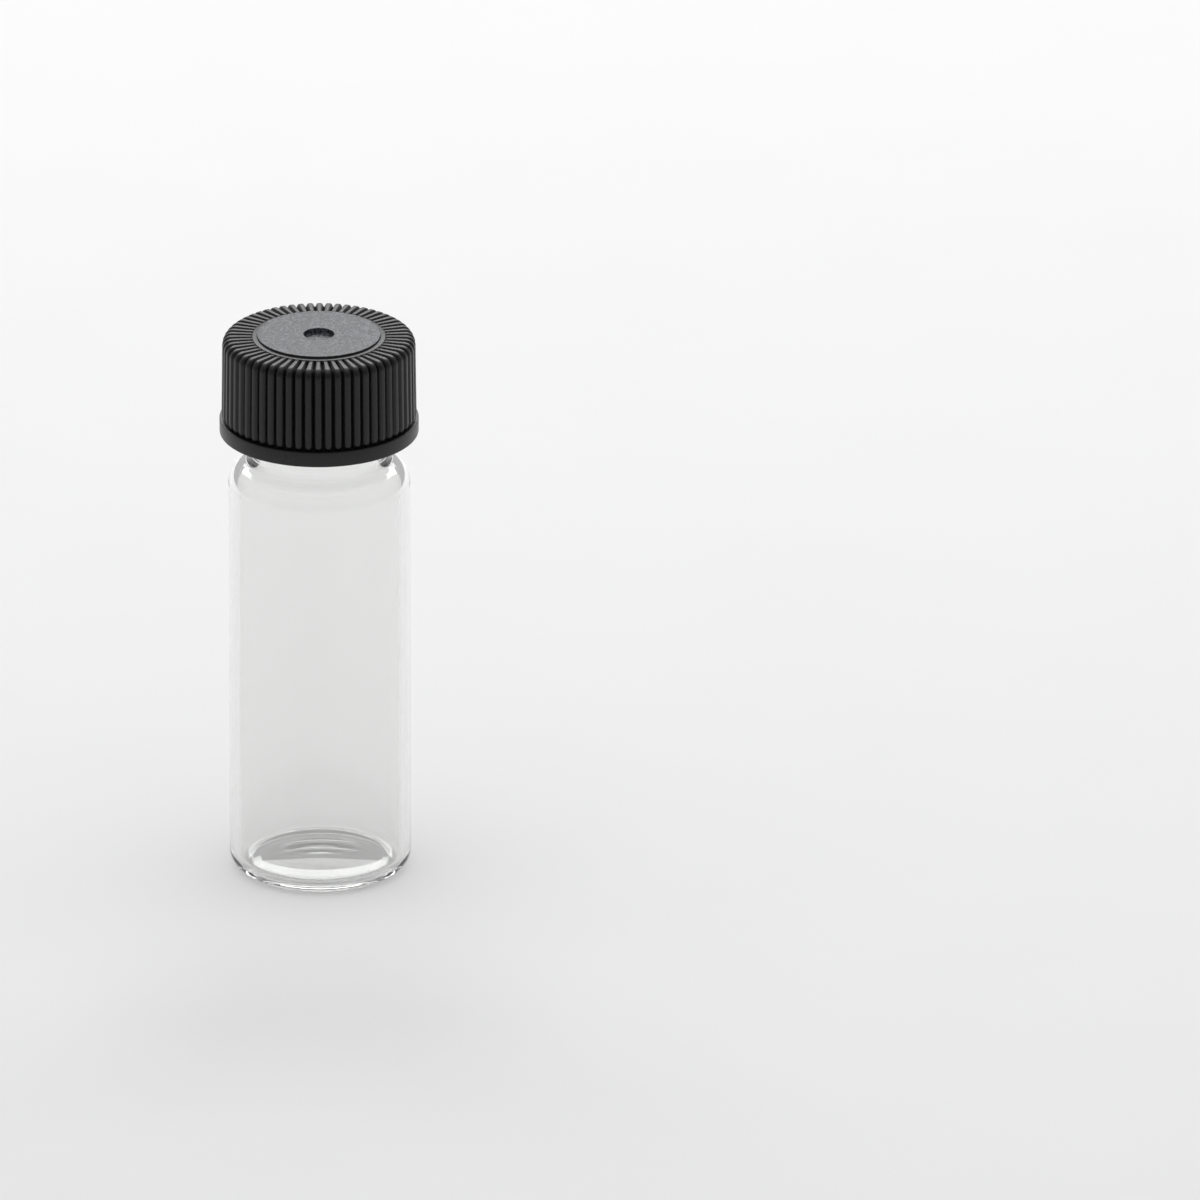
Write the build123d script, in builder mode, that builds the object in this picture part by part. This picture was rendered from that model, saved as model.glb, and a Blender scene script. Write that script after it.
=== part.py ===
from build123d import *
from math import acos, ceil, cos, degrees, radians, sin, tan
import os

# Glass sample vial with a ribbed screw cap and a sealing liner, in millimetres.
# The origin is the centre of the flat foot and +Z runs up the axis of the vial.

# Glass body
body_diameter = 15.0
glass_height = 45.0
body_wall = 0.9
base_thickness = 1.0
foot_radius = 1.0
foot_flat_count = 3
floor_bevel = 0.4

# Shoulder, neck and rim
shoulder_width = 1.65  # how far the body stands out beyond the neck
shoulder_radius = 2.4
shoulder_flat_count = 5
neck_root_radius = 0.6
neck_root_flat_count = 1
shoulder_thickening = 0.2
inner_shoulder_flat_count = 3
neck_length = 8.4
neck_wall = 0.85
rim_bevel = 0.28

# Screw thread: right-handed, twelve turns to the inch, one lead and profile on glass and cap
thread_pitch = 25.4 / 12
ridge_height = 0.65
flank_angle = 30.0  # between each flank and the plane across the axis
crest_clearance = 0.25  # radial gap between each crest and the wall that it faces
flank_gap = 0.15  # axial gap between the two pulling flanks of the closed cap
ridge_embed = 0.1
fade_angle = 40.0
fade_sink = 0.03  # how far below the wall the crest ends
points_per_turn = 24

glass_crest_width = 0.5
glass_thread_start = 1.5  # from the rim down to the middle of the top turn
glass_thread_turns = 1.85

cap_crest_width = 0.2
cap_thread_angle = -220.0
cap_thread_turns = 1.0

# Liner
liner_thickness = 1.0
liner_clearance = 0.3

# Cap
cap_height = 8.6
cap_top_thickness = 1.1
cap_wall = 0.95
flange_height = 1.3
flange_overhang = 0.17
flange_bevel = 0.15
mouth_widening = 0.2
mouth_depth = 0.55

# Grip ribs
rib_count = 60
rib_height = 0.33
rib_share = 0.53  # the part of each pitch that the rib takes; the groove has the rest
rib_embed = 0.3
grip_draft = 0.7
grip_corner_radius = 0.8
rib_corner_flat_count = 3
groove_corner_flat_count = 1

# Top of the cap
ledge_diameter = 11.0
disc_diameter = 10.2
disc_step = 0.2
recess_diameter = 2.5
recess_depth = 0.45

# Glass sizes that follow
body_radius = body_diameter / 2
inner_radius = body_radius - body_wall
neck_radius = body_radius - shoulder_width
neck_bore_radius = neck_radius - neck_wall
neck_foot = glass_height - neck_length

# The shoulder is a round and the neck's root, which meet on a slant, outside and inside
outer_arcs = shoulder_radius + neck_root_radius
shoulder_turn = degrees(acos(1 - shoulder_width / outer_arcs))
shoulder_foot = neck_foot - outer_arcs * sin(radians(shoulder_turn))
inner_shoulder_radius = shoulder_radius - body_wall
inner_root_radius = neck_root_radius + body_wall
inner_arcs = inner_shoulder_radius + inner_root_radius
inner_turn = degrees(acos(1 - (inner_radius - neck_bore_radius) / inner_arcs))
inner_shoulder_foot = shoulder_foot - shoulder_thickening

# Cap and liner sizes that follow, from the neck outwards and from the rim upwards
bore_radius = neck_radius + ridge_height + crest_clearance
mouth_radius = bore_radius + mouth_widening
grip_root_radius = bore_radius + cap_wall
flange_radius = grip_root_radius + rib_height + flange_overhang
liner_radius = bore_radius - liner_clearance
ceiling = glass_height + liner_thickness
disc_top = ceiling + cap_top_thickness
ledge_top = disc_top - disc_step
ring_floor = ledge_top - rib_height
skirt_foot = disc_top - cap_height
flange_top = skirt_foot + flange_height
ledge_radius = ledge_diameter / 2
disc_radius = disc_diameter / 2
recess_radius = recess_diameter / 2

# The cap's thread lies under the glass thread, its upper flank just clear of the lower one
flank_slope = tan(radians(flank_angle))
glass_root_width = glass_crest_width + 2 * ridge_height * flank_slope
cap_root_width = cap_crest_width + 2 * ridge_height * flank_slope
shared_flanks = (ridge_height + crest_clearance) * flank_slope
pulling_offset = (glass_root_width + cap_root_width) / 2 - shared_flanks + flank_gap
glass_thread_foot = glass_height - glass_thread_start - glass_thread_turns * thread_pitch
cap_thread_foot = glass_thread_foot - pulling_offset + thread_pitch * (1 + cap_thread_angle / 360)


def arc_points(centre_radius, centre_height, radius, start, end, flats):
    """Points of an arc in equal flats, in a section through the axis, from start to end in degrees."""
    turns = [radians(start + (end - start) * flat / flats) for flat in range(flats + 1)]
    return [
        (centre_radius + radius * cos(turn), centre_height + radius * sin(turn)) for turn in turns
    ]


def shoulder_points(foot, shoulder, radii, turn, flats):
    """Points of a shoulder and its neck root: two arcs that lie against each other on a slant."""
    wall_radius, root_wall_radius = shoulder
    round_radius, root_radius = radii
    round_flats, root_flats = flats
    root_height = foot + (round_radius + root_radius) * sin(radians(turn))
    return [
        *arc_points(wall_radius - round_radius, foot, round_radius, 0, turn, round_flats),
        *arc_points(
            root_wall_radius + root_radius, root_height, root_radius, 180 + turn, 180, root_flats
        )[1:],
    ]


def grip_radius(height):
    """Radius of the drafted groove floor at a height on the side of the cap."""
    return grip_root_radius - (height - flange_top) * tan(radians(grip_draft))


def grip_corner(raise_by, flats):
    """Points of the grip's top corner in equal flats, raised from the groove floor to a rib."""
    top = ring_floor + raise_by
    radius = grip_corner_radius - rib_height + raise_by
    centre = grip_radius(top - radius) + raise_by - radius
    return arc_points(centre, top - radius, radius, 0, 90, flats)


def helix_points(radius, foot, start_angle, turns, outward):
    """Points of a right-handed helix whose two ends dive into the wall under the ridge."""
    whole = 360 * turns
    steps = ceil(turns * points_per_turn)
    points = []
    for step in range(steps + 1):
        angle = whole * step / steps
        fade = max(0, 1 - min(angle, whole - angle) / fade_angle) ** 2
        reach = radius - outward * (ridge_height + fade_sink) * fade
        turned = radians(start_angle + angle)
        height = foot + thread_pitch * angle / 360
        points.append((reach * cos(turned), reach * sin(turned), height))
    return points


def thread_ridge(radius, foot, start_angle, turns, crest_width, root_width, outward):
    """Screw ridge on a round wall; outward is 1 on the neck and -1 inside the cap."""
    with BuildLine() as helix:
        Spline(*helix_points(radius, foot, start_angle, turns, outward))
    start = helix.line @ 0
    along = helix.line % 0
    radial = Vector(start.X, start.Y, 0).normalized() * outward
    across = radial - along * radial.dot(along)
    with BuildSketch(Plane(origin=start, x_dir=across, z_dir=along)) as section:
        with BuildLine():
            Polyline(
                (-ridge_embed, -root_width / 2),
                (0, -root_width / 2),
                (ridge_height, -crest_width / 2),
                (ridge_height, crest_width / 2),
                (0, root_width / 2),
                (-ridge_embed, root_width / 2),
                close=True,
            )
        make_face()
    with BuildPart() as ridge:
        sweep(section.sketch, path=helix.line, is_frenet=True)
    return ridge.part


# Glass vial: a turned body with its thread, hollowed from the rim down
with BuildPart() as glass_vial:
    with BuildSketch(Plane.XZ):
        with BuildLine():
            Polyline(
                (0, 0),
                *arc_points(
                    body_radius - foot_radius, foot_radius, foot_radius, -90, 0, foot_flat_count
                ),
                *shoulder_points(
                    shoulder_foot,
                    (body_radius, neck_radius),
                    (shoulder_radius, neck_root_radius),
                    shoulder_turn,
                    (shoulder_flat_count, neck_root_flat_count),
                ),
                (neck_radius, glass_height - rim_bevel),
                (neck_radius - rim_bevel, glass_height),
                (0, glass_height),
                close=True,
            )
        make_face()
    revolve(axis=Axis.Z)
    add(
        thread_ridge(
            neck_radius,
            glass_thread_foot,
            0,
            glass_thread_turns,
            glass_crest_width,
            glass_root_width,
            1,
        )
    )
    with BuildSketch(Plane.XZ):
        with BuildLine():
            Polyline(
                (0, base_thickness),
                (inner_radius - floor_bevel, base_thickness),
                (inner_radius, base_thickness + floor_bevel),
                *shoulder_points(
                    inner_shoulder_foot,
                    (inner_radius, neck_bore_radius),
                    (inner_shoulder_radius, inner_root_radius),
                    inner_turn,
                    (inner_shoulder_flat_count, neck_root_flat_count),
                ),
                (neck_bore_radius, glass_height),
                (0, glass_height),
                close=True,
            )
        make_face()
    revolve(axis=Axis.Z, mode=Mode.SUBTRACT)

# Liner: a thin disc between the rim and the ceiling of the cap
with BuildPart() as cap_liner:
    with Locations((0, 0, glass_height)):
        Cylinder(liner_radius, liner_thickness, align=(Align.CENTER, Align.CENTER, Align.MIN))

# One grip rib: it stands on the side of the cap, bends over the corner and ends in the ledge,
# and narrows towards the axis between two planes through it
rib_half_angle = 360 / rib_count * rib_share / 2
rib_foot = flange_top - rib_embed
rib_end = ledge_radius - rib_embed
rib_half_width = flange_radius * tan(radians(rib_half_angle))
with BuildPart() as grip_rib:
    with BuildSketch(Plane.XZ):
        with BuildLine():
            Polyline(
                (grip_radius(rib_foot) + rib_height, rib_foot),
                *grip_corner(rib_height, rib_corner_flat_count),
                (rib_end, ledge_top),
                (rib_end, ring_floor - rib_embed),
                (grip_radius(ring_floor) - rib_embed, ring_floor - rib_embed),
                (grip_radius(rib_foot) - rib_embed, rib_foot),
                close=True,
            )
        make_face()
    extrude(amount=rib_half_width, both=True)
    with BuildSketch(Plane.XY.offset(rib_foot)):
        with BuildLine():
            Polyline(
                (0, 0),
                (flange_radius, -rib_half_width),
                (flange_radius, rib_half_width),
                close=True,
            )
        make_face()
    extrude(amount=cap_height, mode=Mode.INTERSECT)

# Screw cap: turned body, ribs round it, then the bore and the thread inside it
with BuildPart() as screw_cap:
    with BuildSketch(Plane.XZ):
        with BuildLine():
            Polyline(
                (0, skirt_foot),
                (flange_radius - flange_bevel, skirt_foot),
                (flange_radius, skirt_foot + flange_bevel),
                (flange_radius, flange_top),
                (grip_root_radius, flange_top),
                *grip_corner(0, groove_corner_flat_count),
                (ledge_radius, ring_floor),
                (ledge_radius, ledge_top),
                (disc_radius, ledge_top),
                (disc_radius, disc_top),
                (recess_radius, disc_top),
                (recess_radius, disc_top - recess_depth),
                (0, disc_top - recess_depth),
                close=True,
            )
        make_face()
    revolve(axis=Axis.Z)
    with PolarLocations(0, rib_count):
        add(grip_rib.part)
    with BuildSketch(Plane.XZ):
        with BuildLine():
            Polyline(
                (0, skirt_foot),
                (mouth_radius, skirt_foot),
                (bore_radius, skirt_foot + mouth_depth),
                (bore_radius, ceiling),
                (0, ceiling),
                close=True,
            )
        make_face()
    revolve(axis=Axis.Z, mode=Mode.SUBTRACT)
    add(
        thread_ridge(
            bore_radius,
            cap_thread_foot,
            cap_thread_angle,
            cap_thread_turns,
            cap_crest_width,
            cap_root_width,
            -1,
        )
    )

glass_vial.part.label = "glass_vial"
cap_liner.part.label = "cap_liner"
screw_cap.part.label = "screw_cap"

os.makedirs("parts", exist_ok=True)
export_step(glass_vial.part, "parts/glass_vial.step")
export_step(cap_liner.part, "parts/cap_liner.step")
export_step(screw_cap.part, "parts/screw_cap.step")
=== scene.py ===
# %% [markdown]
# # Glass sample vial with a ribbed screw cap
#
# The real thing has three pieces: a clear glass vial, a black moulded screw cap and a thin sealing
# liner between them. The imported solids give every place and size. They are plain, so this lesson
# turns each piece again with round edges, and gives it the finish of the real material.
#
# All three pieces are turned shapes, so one idea makes them all: an outline is drawn once in Python,
# and Geometry Nodes turn it round the axis. A rule written as a sum then lifts the skin where the
# ribs and the screw threads stand.

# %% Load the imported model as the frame
from math import acos, cos, pi, radians, sin, tan

import bmesh
import bpy
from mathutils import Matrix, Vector


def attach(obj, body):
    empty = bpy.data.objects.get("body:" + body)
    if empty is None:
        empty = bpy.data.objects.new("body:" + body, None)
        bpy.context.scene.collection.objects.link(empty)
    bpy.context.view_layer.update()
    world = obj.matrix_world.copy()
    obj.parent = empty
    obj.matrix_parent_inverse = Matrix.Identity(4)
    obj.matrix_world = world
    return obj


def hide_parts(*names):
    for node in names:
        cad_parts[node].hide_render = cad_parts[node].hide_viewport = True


MM = 0.001
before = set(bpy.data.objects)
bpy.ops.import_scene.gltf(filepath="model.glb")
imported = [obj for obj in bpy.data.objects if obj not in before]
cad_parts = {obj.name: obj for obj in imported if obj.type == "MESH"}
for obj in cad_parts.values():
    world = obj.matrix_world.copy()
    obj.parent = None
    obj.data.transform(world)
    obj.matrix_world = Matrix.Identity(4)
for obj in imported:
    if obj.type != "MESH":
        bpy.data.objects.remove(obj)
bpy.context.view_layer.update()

# %% [markdown]
# ## Sizes
#
# The sizes are those of the solids, in millimetres, with the small radii that the real edges have.
# Heights are measured from the foot of the vial and radii from its axis.

# %% Sizes of the glass
BODY_RADIUS = 7.5
BODY_WALL = 0.9
BASE_THICKNESS = 0.7
FOOT_RADIUS = 1.5
FLOOR_RADIUS = 1.0
FOOT_RING_RADIUS = 5.6
HOLLOW_UNDER_FOOT = 0.2
GLASS_HEIGHT = 45.0
SHOULDER_RADIUS = 2.4
NECK_ROOT_RADIUS = 0.6
SHOULDER_THICKENING = 0.2
NECK_RADIUS = 5.85
NECK_BORE_RADIUS = 5.0
NECK_FOOT = 36.6
RIM_RADIUS = 0.28

# %% Sizes of the screw thread, on the glass and inside the cap
THREAD_PITCH = 25.4 / 12
RIDGE_HEIGHT = 0.65
FLANK_SLOPE = tan(radians(30))
CREST_CLEARANCE = 0.25
FLANK_GAP = 0.15
FADE_TURNS = 40 / 360
FADE_SINK = 0.03
GLASS_CREST_WIDTH = 0.5
GLASS_THREAD_TURNS = 1.85
CAP_CREST_WIDTH = 0.2
CAP_THREAD_ANGLE = -220.0
CAP_THREAD_TURNS = 1.0

glass_root_width = GLASS_CREST_WIDTH + 2 * RIDGE_HEIGHT * FLANK_SLOPE
cap_root_width = CAP_CREST_WIDTH + 2 * RIDGE_HEIGHT * FLANK_SLOPE
shared_flanks = (RIDGE_HEIGHT + CREST_CLEARANCE) * FLANK_SLOPE
pulling_offset = (glass_root_width + cap_root_width) / 2 - shared_flanks + FLANK_GAP
glass_thread_foot = GLASS_HEIGHT - 1.5 - GLASS_THREAD_TURNS * THREAD_PITCH
cap_thread_foot = glass_thread_foot - pulling_offset + THREAD_PITCH * (1 + CAP_THREAD_ANGLE / 360)

# %% Sizes of the cap and the liner
CAP_FOOT = 38.5
FLANGE_TOP = 39.8
LEDGE_TOP = 46.9
DISC_TOP = 47.1
CEILING = 46.0
FLANGE_RADIUS = 8.2
GROOVE_RADIUS = 7.7
BORE_RADIUS = 6.75
MOUTH_RADIUS = 6.95
MOUTH_DEPTH = 0.55
LEDGE_RADIUS = 5.5
DISC_RADIUS = 5.1
RECESS_RADIUS = 1.25
RECESS_DEPTH = 0.45
RIB_COUNT = 60
RIB_HEIGHT = 0.33
RIB_SHARE = 0.3
GRIP_DRAFT = 0.7
GRIP_CORNER_RADIUS = 0.8
LINER_RADIUS = 6.45

# %% [markdown]
# ## Camera
#
# The vial was seen from a little above, about 22 degrees over the table, through a long lens from
# far away, so its sides look parallel. The frame is about 99 mm wide at the vial, which stands left
# of the middle. A camera 3 m away with a matching long lens gives that view with no lens shift.

# %% Place the camera
FRAME_WIDTH = 1200 / 12.09 * MM
CAMERA_DISTANCE = 3.0
ELEVATION = radians(22.2)
SIDEWAYS = (600 - 320.5) / 12.09 * MM
UPWARDS = (862.4 - 600) / 12.09 * MM

scene = bpy.context.scene
scene.cycles.max_bounces = 24
scene.cycles.glossy_bounces = 16
scene.cycles.transmission_bounces = 24
scene.cycles.caustics_refractive = False
scene.cycles.caustics_reflective = False
lens = bpy.data.cameras.new("camera")
lens.sensor_fit = "HORIZONTAL"
lens.sensor_width = 36
lens.lens = lens.sensor_width * CAMERA_DISTANCE / FRAME_WIDTH
lens.clip_start = 0.1
lens.clip_end = 20
camera = bpy.data.objects.new("camera", lens)
scene.collection.objects.link(camera)
right = Vector((1, 0, 0))
up = Vector((0, sin(ELEVATION), cos(ELEVATION)))
back = Vector((0, -cos(ELEVATION), sin(ELEVATION)))
camera.location = right * SIDEWAYS + up * UPWARDS + back * CAMERA_DISTANCE
camera.rotation_euler = back.to_track_quat("Z", "Y").to_euler()
scene.camera = camera
print("lens:", round(lens.lens), "mm, camera at", [round(value, 3) for value in camera.location])

# %% [markdown]
# ## A short way to write sums in nodes
#
# A rule such as "lift the skin where the angle is near a rib" takes a dozen Math nodes, which are
# hard to read one by one. The class below lets the rule be written as an ordinary sum. Each sign
# makes one Math node in the tree, in geometry trees and in shader groups alike.


# %% Sums that become Math nodes
class Field:
    """A number that flows through a node tree."""

    def __init__(self, tree, source):
        self.tree = tree
        self.source = source

    def sum(self, operation, *others):
        """The result of one Math node on this number and others."""
        node = self.tree.nodes.new("ShaderNodeMath")
        node.operation = operation
        for socket, value in zip(node.inputs, (self, *others)):
            feed(self.tree, value, socket)
        return Field(self.tree, node.outputs["Value"])

    def __add__(self, other):
        return self.sum("ADD", other)

    def __sub__(self, other):
        return self.sum("SUBTRACT", other)

    def __mul__(self, other):
        return self.sum("MULTIPLY", other)

    def __truediv__(self, other):
        return self.sum("DIVIDE", other)

    def smooth_step(self, start, end):
        """0 at start and 1 at end, with a soft change between them."""
        node = self.tree.nodes.new("ShaderNodeMapRange")
        node.interpolation_type = "SMOOTHSTEP"
        feed(self.tree, self, node.inputs["Value"])
        feed(self.tree, start, node.inputs["From Min"])
        feed(self.tree, end, node.inputs["From Max"])
        return Field(self.tree, node.outputs["Result"])


def feed(tree, value, socket):
    """Link a field to a socket, or set the socket to a plain value."""
    if isinstance(value, Field):
        tree.links.new(value.source, socket)
    else:
        socket.default_value = value


def add_node(tree, kind, settings=None, **inputs):
    """A new node with its settings and its inputs; an underscore in an input's name is a space."""
    node = tree.nodes.new(kind)
    for name, value in (settings or {}).items():
        setattr(node, name, value)
    for name, value in inputs.items():
        feed(tree, value, node.inputs[name.replace("_", " ")])
    return node


# %% [markdown]
# ## Turning an outline with Geometry Nodes
#
# The tree makes a grid with one column for each step round the axis and one row for each point of
# the outline. Each point of the grid looks up its row in the outline and is moved to its place round
# the axis. The last column falls on the first and is merged with it, so the skin is closed.
#
# The tree could end there. It also takes a rule, which says how far each point of the skin is moved
# out, and the rule can read numbers that the outline carries for each row.


# %% Make the turning tree
def turning_tree(name, sizes, rule):
    """A Geometry Nodes tree that turns an outline round the axis and shapes its skin by a rule."""
    tree = bpy.data.node_groups.new(name, "GeometryNodeTree")
    interface = tree.interface
    interface.new_socket("Outline", in_out="INPUT", socket_type="NodeSocketGeometry")
    interface.new_socket("Columns", in_out="INPUT", socket_type="NodeSocketInt")
    for size in sizes:
        interface.new_socket(size, in_out="INPUT", socket_type="NodeSocketFloat")
    interface.new_socket("Finish", in_out="INPUT", socket_type="NodeSocketMaterial")
    interface.new_socket("Skin", in_out="OUTPUT", socket_type="NodeSocketGeometry")

    entry = tree.nodes.new("NodeGroupInput")
    numbers = {size: Field(tree, entry.outputs[size]) for size in ("Columns", *sizes)}
    outline = Field(tree, entry.outputs["Outline"])
    rows = Field(
        tree, add_node(tree, "GeometryNodeAttributeDomainSize", Geometry=outline).outputs["Point Count"]
    )
    grid = add_node(
        tree, "GeometryNodeMeshGrid", Vertices_X=numbers["Columns"] + 1, Vertices_Y=rows
    )
    index = Field(tree, tree.nodes.new("GeometryNodeInputIndex").outputs["Index"])
    column = (index / rows).sum("FLOOR")
    row = index - column * rows

    def read(attribute):
        """A number that the outline carries, read at this point's row."""
        named = add_node(tree, "GeometryNodeInputNamedAttribute", {"data_type": "FLOAT"}, Name=attribute)
        found = add_node(
            tree,
            "GeometryNodeSampleIndex",
            {"data_type": "FLOAT", "domain": "POINT"},
            Geometry=outline,
            Value=Field(tree, named.outputs["Attribute"]),
            Index=row,
        )
        return Field(tree, found.outputs["Value"])

    angle = column * (2 * pi) / numbers["Columns"]
    radius, height = rule(numbers, read, angle)
    place = add_node(
        tree,
        "ShaderNodeCombineXYZ",
        X=radius * angle.sum("COSINE"),
        Y=radius * angle.sum("SINE"),
        Z=height,
    )
    turned = add_node(
        tree,
        "GeometryNodeSetPosition",
        Geometry=Field(tree, grid.outputs["Mesh"]),
        Position=Field(tree, place.outputs["Vector"]),
    )
    merged = add_node(
        tree,
        "GeometryNodeMergeByDistance",
        Geometry=Field(tree, turned.outputs["Geometry"]),
        Distance=MM / 1000,
    )
    smooth = add_node(
        tree, "GeometryNodeSetShadeSmooth", Geometry=Field(tree, merged.outputs["Geometry"])
    )
    realized = add_node(
        tree, "GeometryNodeRealizeInstances", Geometry=Field(tree, smooth.outputs["Geometry"])
    )
    finished = add_node(
        tree,
        "GeometryNodeSetMaterial",
        Geometry=Field(tree, realized.outputs["Geometry"]),
        Material=Field(tree, entry.outputs["Finish"]),
    )
    leave = tree.nodes.new("NodeGroupOutput")
    tree.links.new(finished.outputs["Geometry"], leave.inputs["Skin"])
    return tree


# %% Turn one outline into a plain mesh
def turned_piece(name, outline, tree, sizes, finish):
    """A turned object. Each row of the outline is a dict with a radius r, a height z and its own numbers."""
    mesh = bpy.data.meshes.new(name)
    points = [(row["r"] * MM, 0, row["z"] * MM) for row in outline]
    mesh.from_pydata(points, [(step, step + 1) for step in range(len(points) - 1)], [])
    for key in sorted({key for row in outline for key in row}):
        numbers = mesh.attributes.new(key, "FLOAT", "POINT")
        scale = 1 if key in PLAIN_NUMBERS else MM
        numbers.data.foreach_set("value", [row.get(key, 0) * scale for row in outline])
    piece = bpy.data.objects.new(name, mesh)
    scene.collection.objects.link(piece)
    turning = piece.modifiers.new("turning", "NODES")
    turning.node_group = tree
    for item in tree.interface.items_tree:
        if item.in_out == "INPUT" and item.name in sizes:
            turning[item.identifier] = sizes[item.name]
        elif item.in_out == "INPUT" and item.name == "Finish":
            turning[item.identifier] = finish
    result = bpy.data.meshes.new_from_object(piece.evaluated_get(bpy.context.evaluated_depsgraph_get()))
    piece.modifiers.remove(turning)
    piece.data = result
    bpy.data.meshes.remove(mesh)
    result.name = name
    for attribute in [a.name for a in result.attributes if a.name == "UVMap"]:
        result.attributes.remove(result.attributes[attribute])
    face_outwards(result)
    print(name, "has", len(result.polygons), "faces")
    return piece


def face_outwards(mesh):
    """Point every face of a closed mesh outwards."""
    shape = bmesh.new()
    shape.from_mesh(mesh)
    bmesh.ops.recalc_face_normals(shape, faces=shape.faces)
    if shape.calc_volume(signed=True) < 0:
        bmesh.ops.reverse_faces(shape, faces=shape.faces)
    shape.to_mesh(mesh)
    shape.free()


PLAIN_NUMBERS = ("threaded", "share", "out_r", "out_z")

# %% [markdown]
# ## The rule for a screw thread
#
# A thread is a ridge that climbs one pitch in each turn. For a point of the wall, the rule finds the
# nearest turn of the ridge and how far above or below it the point lies. Near the ridge's middle the
# skin is lifted to the crest, further off it slopes down the flank, and past the root it is flat.
#
# A ridge could also be swept along a helix and joined to the wall. The rule keeps wall and ridge one
# closed skin, with no seam to show in clear glass. The same tree cuts the mating thread inside the
# cap, where the ridge stands inwards.


# %% Thread rule and its tree
def thread_rule(numbers, read, angle):
    """Radius and height of a wall with a screw ridge on its threaded rows."""
    height = read("z")
    start = numbers["Start angle"]
    part_turn = ((angle - start) / (2 * pi)).sum("FRACT")
    turns_up = (height - numbers["Foot"]) / numbers["Pitch"] - part_turn
    nearest = (turns_up + 0.5).sum("FLOOR")
    away = (turns_up - nearest).sum("ABSOLUTE") * numbers["Pitch"]
    along = nearest + part_turn
    from_end = along.sum("MINIMUM", numbers["Turns"] - along)
    fade = ((from_end / FADE_TURNS) * -1 + 1).sum("MAXIMUM", 0)
    flank = away.smooth_step(numbers["Root width"] / 2, numbers["Crest width"] / 2)
    lift = flank * (RIDGE_HEIGHT * MM) - fade * fade * ((RIDGE_HEIGHT + FADE_SINK) * MM)
    return read("r") + lift.sum("MAXIMUM", 0) * read("threaded") * numbers["Outwards"], height


THREAD_SIZES = ("Start angle", "Foot", "Pitch", "Turns", "Root width", "Crest width", "Outwards")
threaded_turning = turning_tree("threaded turning", THREAD_SIZES, thread_rule)


# %% [markdown]
# ## The rule for the grip ribs
#
# Sixty ribs run up the side of the cap, over its corner and in towards the ledge. Each is a soft
# ridge, so the rule measures how far round a point is from the nearest rib, as a share of the pitch.
# The outline carries the height of the ribs, their share of the pitch and the direction that they
# stand in, row by row. That bends them over the corner and lets them narrow to a point at the foot.


# %% Rib rule and its tree
def rib_rule(numbers, read, angle):
    """Radius and height of a wall with ribs that run along the outline."""
    place = angle * numbers["Ribs"] / (2 * pi)
    off_crest = (place - (place + 0.5).sum("FLOOR")).sum("ABSOLUTE")
    edge = read("share") / 2
    from_groove = ((off_crest * -1 + 0.5) / (edge * -1 + 0.5)).sum("MINIMUM", 1)
    lift = (from_groove * (pi / 2)).sum("SINE") * read("rise")
    return read("r") + lift * read("out_r"), read("z") + lift * read("out_z")


ribbed_turning = turning_tree("ribbed turning", ("Ribs",), rib_rule)


# %% [markdown]
# ## Outlines
#
# An outline is a list of rows from one end of the skin to the other. Rounded edges are arcs with a
# few rows each. The helper below gives the rows of an arc in the section through the axis.


# %% Arcs in an outline
def arc(centre_r, centre_z, radius, start, end, steps, **numbers):
    """Rows of an arc, with its angles in degrees from the outward direction."""
    turns = [radians(start + (end - start) * step / steps) for step in range(steps + 1)]
    return [
        {"r": centre_r + radius * cos(turn), "z": centre_z + radius * sin(turn), **numbers}
        for turn in turns
    ]


def run(start, end, steps, **numbers):
    """Rows of a straight run from start to end, each a radius and a height."""
    return [
        {
            "r": start[0] + (end[0] - start[0]) * step / steps,
            "z": start[1] + (end[1] - start[1]) * step / steps,
            **numbers,
        }
        for step in range(steps + 1)
    ]


def shoulder(foot, wall_radius, neck_radius, round_radius, root_radius, steps):
    """Rows of a shoulder: a round and the root of the neck, which meet on a slant."""
    both = round_radius + root_radius
    turn = acos(1 - (wall_radius - neck_radius) / both) * 180 / pi
    top = foot + both * sin(radians(turn))
    return [
        *arc(wall_radius - round_radius, foot, round_radius, 0, turn, steps),
        *arc(neck_radius + root_radius, top, root_radius, 180 + turn, 180, steps)[1:],
    ]


# %% [markdown]
# ## Materials
#
# Three finishes are needed: clear glass, black moulded plastic and the pale liner. The plastic has
# two looks, smooth on the ribs and flange and stippled on the disc, where the mould was roughened.
# The disc's light bluish flecks are partly painted sheen: they stand for the pale glints of that rough
# plastic.
#
# The plastic looks and the liner all show a fine grain, so the grain is one node group with its own
# size and strength each time. It reads the object's own coordinates, so it stays put in every view.


# %% Shader group for fine grain
def grain_group():
    """Node group: a fine grain with a height for bumps and a mask of its bright flecks."""
    tree = bpy.data.node_groups.new("fine grain", "ShaderNodeTree")
    interface = tree.interface
    interface.new_socket("Cells per metre", in_out="INPUT", socket_type="NodeSocketFloat")
    interface.new_socket("Fleck level", in_out="INPUT", socket_type="NodeSocketFloat")
    interface.new_socket("Height", in_out="OUTPUT", socket_type="NodeSocketFloat")
    interface.new_socket("Flecks", in_out="OUTPUT", socket_type="NodeSocketFloat")
    entry = tree.nodes.new("NodeGroupInput")
    leave = tree.nodes.new("NodeGroupOutput")
    place = tree.nodes.new("ShaderNodeTexCoord")
    cells = Field(tree, entry.outputs["Cells per metre"])
    fine = add_node(
        tree,
        "ShaderNodeTexNoise",
        Vector=Field(tree, place.outputs["Object"]),
        Scale=cells,
        Detail=2.0,
        Roughness=0.6,
    )
    height = Field(tree, fine.outputs["Fac"])
    level = Field(tree, entry.outputs["Fleck level"])
    flecks = height.smooth_step(level - 0.05, level + 0.05)
    tree.links.new(height.source, leave.inputs["Height"])
    tree.links.new(flecks.source, leave.inputs["Flecks"])
    return tree


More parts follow.
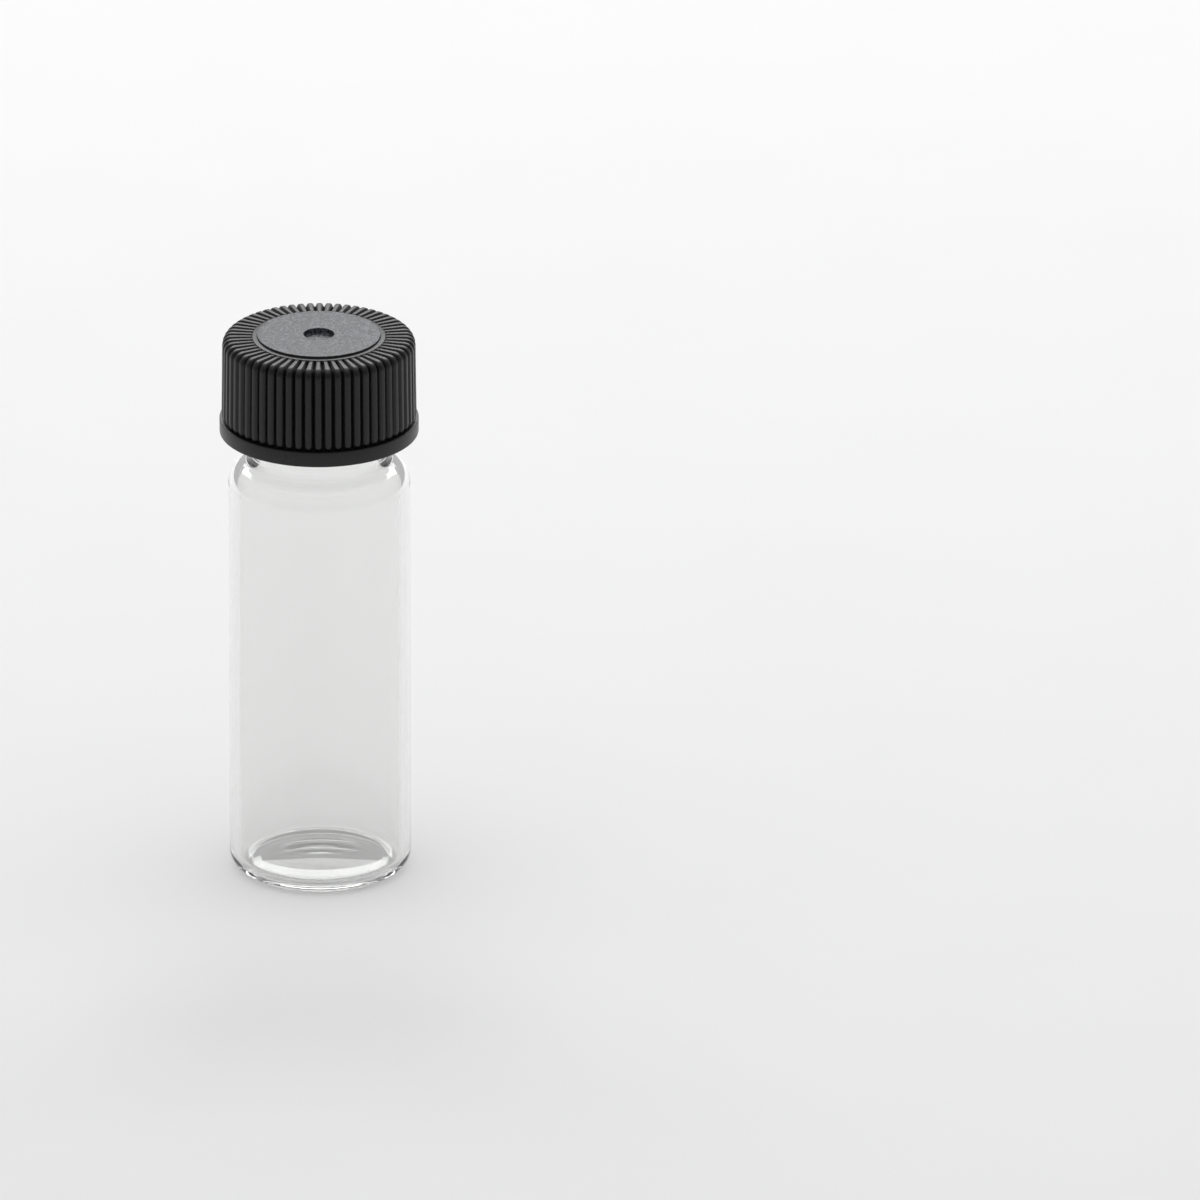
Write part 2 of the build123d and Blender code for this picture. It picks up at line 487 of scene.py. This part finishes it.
fine_grain = grain_group()


# %% Helpers that every material uses
def new_material(name):
    """A material with its Principled shader."""
    material = bpy.data.materials.new(name)
    material.use_nodes = True
    return material, material.node_tree, material.node_tree.nodes["Principled BSDF"]


def grain_in(tree, cells_per_metre, fleck_level):
    """The grain group placed in a material, as its height and its flecks."""
    group = add_node(tree, "ShaderNodeGroup", {"node_tree": fine_grain})
    group.inputs["Cells per metre"].default_value = cells_per_metre
    group.inputs["Fleck level"].default_value = fleck_level
    return Field(tree, group.outputs["Height"]), Field(tree, group.outputs["Flecks"])


def between(tree, amount, dark, light):
    """A colour that goes from dark to light with the amount."""
    mix = add_node(tree, "ShaderNodeMix", {"data_type": "RGBA"})
    feed(tree, amount, mix.inputs[0])
    mix.inputs[6].default_value = (*dark, 1)
    mix.inputs[7].default_value = (*light, 1)
    return Field(tree, mix.outputs[2])


def bump(tree, height, depth, shader):
    """Bumps of a depth in metres on a shader."""
    node = add_node(tree, "ShaderNodeBump", Height=height, Distance=depth)
    tree.links.new(node.outputs["Normal"], shader.inputs["Normal"])


# %% [markdown]
# ### Black moulded plastic
#
# Polypropylene moulded in black is nearly as dark as it gets, and most of its look is its soft gloss.
# A faint grain in the colour and the roughness keeps the gloss from looking like enamel.


# %% Plastic of the ribs and the flange
def moulded_plastic():
    material, tree, shader = new_material("black_moulded_plastic")
    height, flecks = grain_in(tree, 7000.0, 0.62)
    colour = between(tree, flecks, (0.0055, 0.005, 0.0065), (0.018, 0.0165, 0.021))
    feed(tree, colour, shader.inputs["Base Color"])
    feed(tree, height * 0.2 + 0.26, shader.inputs["Roughness"])
    bump(tree, height, 0.000006, shader)
    shader.inputs["IOR"].default_value = 1.49
    shader.inputs["Specular IOR Level"].default_value = 0.42
    return material


def stippled_plastic_with_painted_sheen():
    material, tree, shader = new_material("black_stippled_plastic_with_painted_sheen")
    height, flecks = grain_in(tree, 4000.0, 0.53)
    # Painted sheen: the light bluish flecks paint the pale glints that the roughened black plastic shows
    # under the lamps; the stipple's pattern and bumps are real.
    colour = between(tree, flecks, (0.014, 0.015, 0.018), (0.105, 0.116, 0.135))
    feed(tree, colour, shader.inputs["Base Color"])
    feed(tree, height * 0.3 + 0.25, shader.inputs["Roughness"])
    bump(tree, height, 0.00008, shader)
    shader.inputs["IOR"].default_value = 1.5
    return material


plastic = moulded_plastic()
stipple_with_painted_sheen = stippled_plastic_with_painted_sheen()

# %% [markdown]
# ### Clear glass
#
# Drawn glass is clear with a trace of cool colour in its edges. Its faces are smooth but not quite
# flat; here a very shallow long wave runs up the wall and only varies the tint a little.


# %% Glass
def clear_glass():
    material, tree, shader = new_material("clear_glass")
    place = tree.nodes.new("ShaderNodeTexCoord")
    stretched = add_node(
        tree,
        "ShaderNodeMapping",
        Vector=Field(tree, place.outputs["Object"]),
        Scale=(1, 1, 0.05),
    )
    wave = add_node(
        tree,
        "ShaderNodeTexNoise",
        Vector=Field(tree, stretched.outputs["Vector"]),
        Scale=180.0,
        Detail=1.0,
    )
    waves = Field(tree, wave.outputs["Fac"])
    tint = between(tree, waves, (0.91, 0.915, 0.909), (0.93, 0.935, 0.927))
    feed(tree, tint, shader.inputs["Base Color"])
    shader.inputs["Roughness"].default_value = 0.0
    shader.inputs["IOR"].default_value = 1.49
    shader.inputs["Transmission Weight"].default_value = 1.0

    ray = tree.nodes.new("ShaderNodeLightPath")
    open_way = add_node(tree, "ShaderNodeBsdfTransparent", Color=(1, 1, 1, 1))
    mix = add_node(tree, "ShaderNodeMixShader", Fac=Field(tree, ray.outputs["Is Shadow Ray"]))
    tree.links.new(shader.outputs["BSDF"], mix.inputs[1])
    tree.links.new(open_way.outputs["BSDF"], mix.inputs[2])
    tree.links.new(mix.outputs["Shader"], tree.nodes["Material Output"].inputs["Surface"])
    return material


glass = clear_glass()

# %% Liner
def liner_rubber():
    material, tree, shader = new_material("liner_rubber")
    height, flecks = grain_in(tree, 3000.0, 0.6)
    colour = between(tree, flecks, (0.72, 0.7, 0.66), (0.8, 0.78, 0.74))
    feed(tree, colour, shader.inputs["Base Color"])
    feed(tree, height * 0.2 + 0.45, shader.inputs["Roughness"])
    bump(tree, height, 0.000008, shader)
    return material


liner_finish = liner_rubber()

# %% [markdown]
# ## The glass vial
#
# The outline starts in the middle of the foot, goes up the outside, over the rim, down the inside
# and ends in the middle of the floor. The rows lie close together where the thread is, because the
# ridge takes its shape from them.

# %% Outline of the glass
shoulder_rise = (SHOULDER_RADIUS + NECK_ROOT_RADIUS) * sin(
    acos(1 - (BODY_RADIUS - NECK_RADIUS) / (SHOULDER_RADIUS + NECK_ROOT_RADIUS))
)
shoulder_foot = NECK_FOOT - shoulder_rise
inner_radius = BODY_RADIUS - BODY_WALL
THREAD_ROW = 0.06
thread_low = glass_thread_foot - 1.0
thread_high = GLASS_HEIGHT - RIM_RADIUS - 0.02
thread_rows = round((thread_high - thread_low) / THREAD_ROW)

hollow_foot = [
    {"r": FOOT_RING_RADIUS * step / 12, "z": HOLLOW_UNDER_FOOT * (1 + cos(pi * step / 12)) / 2}
    for step in range(13)
]
glass_outline = [
    *hollow_foot,
    *arc(BODY_RADIUS - FOOT_RADIUS, FOOT_RADIUS, FOOT_RADIUS, -90, 0, 18),
    *run((BODY_RADIUS, FOOT_RADIUS + 0.6), (BODY_RADIUS, shoulder_foot - 0.6), 14),
    *shoulder(shoulder_foot, BODY_RADIUS, NECK_RADIUS, SHOULDER_RADIUS, NECK_ROOT_RADIUS, 14),
    *run((NECK_RADIUS, NECK_FOOT + 0.3), (NECK_RADIUS, thread_low - 0.3), 4),
    *run((NECK_RADIUS, thread_low), (NECK_RADIUS, thread_high), thread_rows, threaded=1),
    *arc(NECK_RADIUS - RIM_RADIUS, GLASS_HEIGHT - RIM_RADIUS, RIM_RADIUS, 0, 90, 6),
    *arc(NECK_BORE_RADIUS + RIM_RADIUS, GLASS_HEIGHT - RIM_RADIUS, RIM_RADIUS, 90, 180, 6),
    *run((NECK_BORE_RADIUS, GLASS_HEIGHT - 1), (NECK_BORE_RADIUS, NECK_FOOT + 0.2), 8),
    *reversed(
        shoulder(
            shoulder_foot - SHOULDER_THICKENING,
            inner_radius,
            NECK_BORE_RADIUS,
            SHOULDER_RADIUS - BODY_WALL,
            NECK_ROOT_RADIUS + BODY_WALL,
            14,
        )
    ),
    *run((inner_radius, shoulder_foot - 1), (inner_radius, BASE_THICKNESS + FLOOR_RADIUS + 0.6), 14),
    *arc(
        inner_radius - FLOOR_RADIUS,
        BASE_THICKNESS + FLOOR_RADIUS,
        FLOOR_RADIUS,
        0,
        -90,
        18,
    ),
    *run((inner_radius - FLOOR_RADIUS - 0.3, BASE_THICKNESS), (0, BASE_THICKNESS), 6),
]
print("glass outline:", len(glass_outline), "rows")

# %% Turn the glass
glass_vial = turned_piece(
    "vial_glass",
    glass_outline,
    threaded_turning,
    {
        "Columns": 192,
        "Start angle": 0.0,
        "Foot": glass_thread_foot * MM,
        "Pitch": THREAD_PITCH * MM,
        "Turns": GLASS_THREAD_TURNS,
        "Root width": glass_root_width * MM,
        "Crest width": GLASS_CREST_WIDTH * MM,
        "Outwards": 1.0,
    },
    glass,
)
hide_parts("glass_vial")
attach(glass_vial, "vial")

# %% [markdown]
# ## The screw cap
#
# Outside, the cap needs twelve steps for each of its sixty ribs. Inside, the bore and its thread are
# round, and a quarter of those steps is enough. So the skin is turned in two parts, and a flat ring
# under the flange closes them to one solid skin.

# %% Outline of the outside
RIB_END_ROWS = (
    (40.75, 0.3, 1.0),
    (40.55, 0.29, 1.0),
    (40.35, 0.25, 1.0),
    (40.18, 0.2, 0.98),
    (40.04, 0.15, 0.9),
    (39.94, 0.11, 0.7),
    (39.87, 0.08, 0.35),
    (39.82, 0.06, 0.0),
)


def groove_radius(height):
    """Radius of the drafted floor of the grooves."""
    return GROOVE_RADIUS - (height - FLANGE_TOP) * tan(radians(GRIP_DRAFT))


ring_floor = LEDGE_TOP - RIB_HEIGHT
corner_radius = GRIP_CORNER_RADIUS - RIB_HEIGHT
corner_height = ring_floor - corner_radius
corner_centre = groove_radius(corner_height) - corner_radius
full_rib = {"rise": RIB_HEIGHT, "share": RIB_SHARE}
CORNER_STEPS = 9

corner = [
    {
        **row,
        **full_rib,
        "out_r": (row["r"] - corner_centre) / corner_radius,
        "out_z": (row["z"] - corner_height) / corner_radius,
    }
    for row in arc(corner_centre, corner_height, corner_radius, 90, 0, CORNER_STEPS)
]
rib_ends = [
    {"r": groove_radius(height), "z": height, "rise": RIB_HEIGHT * rise, "share": share, "out_r": 1}
    for height, share, rise in RIB_END_ROWS
]
cap_outline = [
    *run((0, DISC_TOP - RECESS_DEPTH), (RECESS_RADIUS - 0.15, DISC_TOP - RECESS_DEPTH), 3),
    *arc(RECESS_RADIUS - 0.1, DISC_TOP - RECESS_DEPTH + 0.1, 0.1, -90, 0, 3),
    *arc(RECESS_RADIUS + 0.07, DISC_TOP - 0.07, 0.07, 180, 90, 3),
    *run((RECESS_RADIUS + 0.4, DISC_TOP), (DISC_RADIUS - 0.4, DISC_TOP), 4),
    *arc(DISC_RADIUS - 0.07, DISC_TOP - 0.07, 0.07, 90, 0, 3),
    *arc(DISC_RADIUS + 0.04, LEDGE_TOP + 0.04, 0.04, 180, 270, 2),
    *arc(LEDGE_RADIUS - 0.05, LEDGE_TOP - 0.05, 0.05, 90, 0, 2),
    *run((LEDGE_RADIUS + 0.06, ring_floor), (corner_centre - 0.1, ring_floor), 4, out_z=1, **full_rib),
    *corner,
    *run(
        (groove_radius(corner_height - 0.3), corner_height - 0.3),
        (groove_radius(40.95), 40.95),
        5,
        out_r=1,
        **full_rib,
    ),
    *rib_ends,
    *arc(groove_radius(FLANGE_TOP) + 0.03, FLANGE_TOP + 0.03, 0.03, 180, 270, 2),
    *arc(FLANGE_RADIUS - 0.08, FLANGE_TOP - 0.08, 0.08, 90, 0, 4),
    *arc(FLANGE_RADIUS - 0.16, CAP_FOOT + 0.16, 0.16, 0, -90, 5),
]
print("cap outline:", len(cap_outline), "rows")

# %% Outline of the bore
bore_low = CAP_FOOT + MOUTH_DEPTH + 0.05
bore_outline = [
    *arc(MOUTH_RADIUS + 0.08, CAP_FOOT + 0.08, 0.08, -90, -180, 3),
    *run((BORE_RADIUS, CAP_FOOT + MOUTH_DEPTH), (BORE_RADIUS, CAP_FOOT + MOUTH_DEPTH), 1)[:1],
    *run((BORE_RADIUS, bore_low), (BORE_RADIUS, bore_low + 3.6), 45, threaded=1),
    *run((BORE_RADIUS, bore_low + 4), (BORE_RADIUS, CEILING - 0.4), 3),
    *arc(BORE_RADIUS - 0.2, CEILING - 0.2, 0.2, 0, 90, 4),
    *run((BORE_RADIUS - 1, CEILING), (0, CEILING), 3),
]

# %% Turn both parts of the cap
COLUMNS_PER_RIB = 16
BORE_SHARE = 4
outer_columns = RIB_COUNT * COLUMNS_PER_RIB
bore_columns = outer_columns // BORE_SHARE
screw_cap = turned_piece(
    "ribbed_cap",
    cap_outline,
    ribbed_turning,
    {"Columns": outer_columns, "Ribs": float(RIB_COUNT)},
    plastic,
)
cap_bore = turned_piece(
    "cap_bore",
    bore_outline,
    threaded_turning,
    {
        "Columns": bore_columns,
        "Start angle": radians(CAP_THREAD_ANGLE),
        "Foot": cap_thread_foot * MM,
        "Pitch": THREAD_PITCH * MM,
        "Turns": CAP_THREAD_TURNS,
        "Root width": cap_root_width * MM,
        "Crest width": CAP_CREST_WIDTH * MM,
        "Outwards": -1.0,
    },
    plastic,
)


# %% Close the ring under the flange
def open_ring(shape, faces):
    """The points on the open edge of one part, in order round the axis."""
    edge_points = {point for edge in shape.edges if edge.is_boundary for point in edge.verts}
    mine = [point for point in edge_points if point.link_faces[0].index in faces]
    full_turn = 2 * pi - 0.0001
    return sorted(mine, key=lambda point: Vector(point.co.xy).angle_signed(Vector((1, 0))) % full_turn)


def join_parts(outside, inside, finish_of_disc):
    """One closed skin from the two parts, with the disc in its own finish."""
    shape = bmesh.new()
    shape.from_mesh(outside.data)
    outer_count = len(shape.faces)
    shape.from_mesh(inside.data)
    shape.faces.index_update()
    shape.faces.ensure_lookup_table()
    outer_ring = open_ring(shape, range(outer_count))
    inner_ring = open_ring(shape, range(outer_count, len(shape.faces)))
    print("rings:", len(outer_ring), "and", len(inner_ring), "points")
    step = len(outer_ring) // len(inner_ring)
    for place, point in enumerate(inner_ring):
        far = [outer_ring[(place * step + extra) % len(outer_ring)] for extra in range(step + 1)]
        near = [inner_ring[(place + 1) % len(inner_ring)], point]
        shape.faces.new([*far, *near])
    bmesh.ops.recalc_face_normals(shape, faces=shape.faces)
    if shape.calc_volume(signed=True) < 0:
        bmesh.ops.reverse_faces(shape, faces=shape.faces)
    for face in shape.faces:
        middle = face.calc_center_median()
        on_disc = middle.xy.length < (DISC_RADIUS - 0.02) * MM and middle.z > (CEILING + 0.2) * MM
        face.material_index = int(on_disc)
        face.smooth = True
    outside.data.materials.clear()
    outside.data.materials.append(plastic)
    outside.data.materials.append(finish_of_disc)
    shape.to_mesh(outside.data)
    shape.free()
    bpy.data.objects.remove(inside)


join_parts(screw_cap, cap_bore, stipple_with_painted_sheen)
screw_cap.data.set_sharp_from_angle(angle=radians(50))
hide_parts("screw_cap")
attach(screw_cap, "cap")
print("ribbed_cap has", len(screw_cap.data.polygons), "faces in all")

# %% [markdown]
# ## The liner
#
# The liner is a soft disc a millimetre thick. The glass rim presses a shallow ring into its underside,
# which is what seals the vial. It is turned like the rest, with a flat outline that leaves the pressed ring
# out.

# %% Turn the liner
PRESSED_DEPTH = 0.0
liner_outline = [
    *run((0, GLASS_HEIGHT), (LINER_RADIUS - 0.4, GLASS_HEIGHT), 6),
    *arc(LINER_RADIUS - 0.12, GLASS_HEIGHT + 0.12, 0.12, -90, 0, 4),
    *arc(LINER_RADIUS - 0.12, CEILING - 0.12, 0.12, 0, 90, 4),
    *run((LINER_RADIUS - 0.4, CEILING), (0, CEILING), 6),
]
seal = turned_piece(
    "seal_liner",
    liner_outline,
    threaded_turning,
    {
        "Columns": 96,
        "Start angle": 0.0,
        "Foot": 0.0,
        "Pitch": THREAD_PITCH * MM,
        "Turns": 1.0,
        "Root width": cap_root_width * MM,
        "Crest width": CAP_CREST_WIDTH * MM,
        "Outwards": 0.0,
    },
    liner_finish,
)
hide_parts("cap_liner")
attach(seal, "liner")

# %% [markdown]
# ## Floor and light
#
# The vial stood on a plain pale table under large soft lights, brighter behind than in front. A
# wide round floor and a pale sky do most of that. The sky is darker towards the camera, because the
# dark edges in clear glass are only dark surroundings that the glass bends into view.

# %% Floor
def pale_floor():
    material, tree, shader = new_material("pale_floor")
    place = tree.nodes.new("ShaderNodeTexCoord")
    mottle = add_node(
        tree, "ShaderNodeTexNoise", Vector=Field(tree, place.outputs["Object"]), Scale=60.0
    )
    colour = between(tree, Field(tree, mottle.outputs["Fac"]), (0.86, 0.86, 0.86), (0.88, 0.88, 0.88))
    feed(tree, colour, shader.inputs["Base Color"])
    shader.inputs["Roughness"].default_value = 0.7
    shader.inputs["Specular IOR Level"].default_value = 0.2
    return material


FLOOR_RADIUS_M = 1.5
AIR_UNDER_GLASS = 0.02
floor_mesh = bpy.data.meshes.new("floor")
floor_shape = bmesh.new()
bmesh.ops.create_circle(floor_shape, cap_ends=True, segments=96, radius=FLOOR_RADIUS_M)
bmesh.ops.translate(floor_shape, verts=floor_shape.verts, vec=(0, 0, -AIR_UNDER_GLASS * MM))
floor_shape.to_mesh(floor_mesh)
floor_shape.free()
floor = bpy.data.objects.new("floor", floor_mesh)
floor_mesh.materials.append(pale_floor())
scene.collection.objects.link(floor)


# %% Sky
SKY_STRENGTH = 0.5


def studio_sky():
    """A pale world that is bright behind and above the vial and dim towards the camera."""
    world = bpy.data.worlds.new("studio")
    world.use_nodes = True
    tree = world.node_tree
    tree.nodes.clear()
    place = tree.nodes.new("ShaderNodeTexCoord")
    parts = add_node(
        tree, "ShaderNodeSeparateXYZ", Vector=Field(tree, place.outputs["Generated"])
    )
    towards_back = Field(tree, parts.outputs["Y"])
    bright = towards_back.smooth_step(-0.9, 0.2)
    colour = between(tree, bright, (0.5, 0.5, 0.51), (1.0, 1.0, 1.0))
    lit = add_node(tree, "ShaderNodeBackground", Color=colour, Strength=SKY_STRENGTH)
    leave = tree.nodes.new("ShaderNodeOutputWorld")
    tree.links.new(lit.outputs["Background"], leave.inputs["Surface"])
    scene.world = world


studio_sky()


def soft_box(name, place, target, size, power):
    """A large soft lamp at a place in metres, turned towards a target."""
    lamp = bpy.data.lights.new(name, "AREA")
    lamp.shape = "RECTANGLE"
    lamp.size, lamp.size_y = size
    lamp.energy = power
    box = bpy.data.objects.new(name, lamp)
    box.location = place
    box.rotation_euler = (Vector(place) - Vector(target)).to_track_quat("Z", "Y").to_euler()
    scene.collection.objects.link(box)


soft_box("top_light", (0.0, -0.02, 0.85), (0, 0, 0.03), (0.75, 0.75), 1.0)
soft_box("key_light", (0.0, 0.55, 0.75), (0, 0, 0.03), (0.5, 0.25), 1.7)
soft_box("back_light", (0.0, 0.97, 0.7), (0, 0, 0.03), (1.3, 0.55), 7.7)

# %% Colours are shown as they are
scene.view_settings.view_transform = "Standard"
